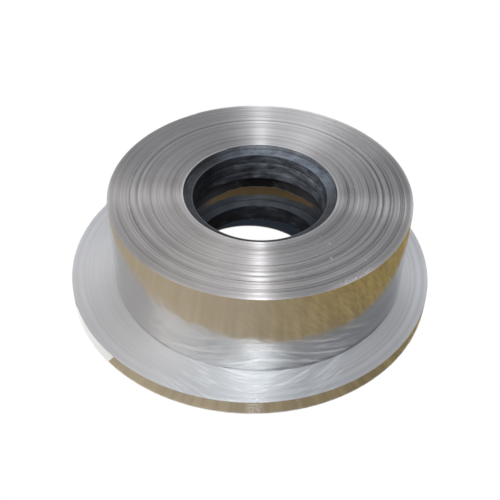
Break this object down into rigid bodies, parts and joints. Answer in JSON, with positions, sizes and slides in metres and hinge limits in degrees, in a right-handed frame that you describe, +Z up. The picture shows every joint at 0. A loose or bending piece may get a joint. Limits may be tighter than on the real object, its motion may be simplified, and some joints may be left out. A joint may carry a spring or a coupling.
{
  "type": "alloy strip coil",
  "caption": "Bright alloy strip wound into an upright coil on black rubber core rings, standing on a wider, flatter coil of narrow strip; raw stock for slitting or stamping.",
  "frame": {"origin": "on the floor, at the centre of the underside of the lower, flat coil", "axes": "+Z up along the axes of both coils; +X points the way the upper coil is set over from the lower coil's axis"},
  "size_m": [0.4939, 0.494, 0.1485],
  "materials": {
    "strip_metal": "bright cold-rolled strip; the slit edges of its turns make the coil ends finely ringed",
    "core_rubber": "scuffed black rubber"
  },
  "bodies": {
    "root": {"wide_coil": "strip_metal", "flat_coil": "strip_metal", "top_core_ring": "core_rubber", "bottom_core_ring": "core_rubber"}
  },
  "joints": []
}
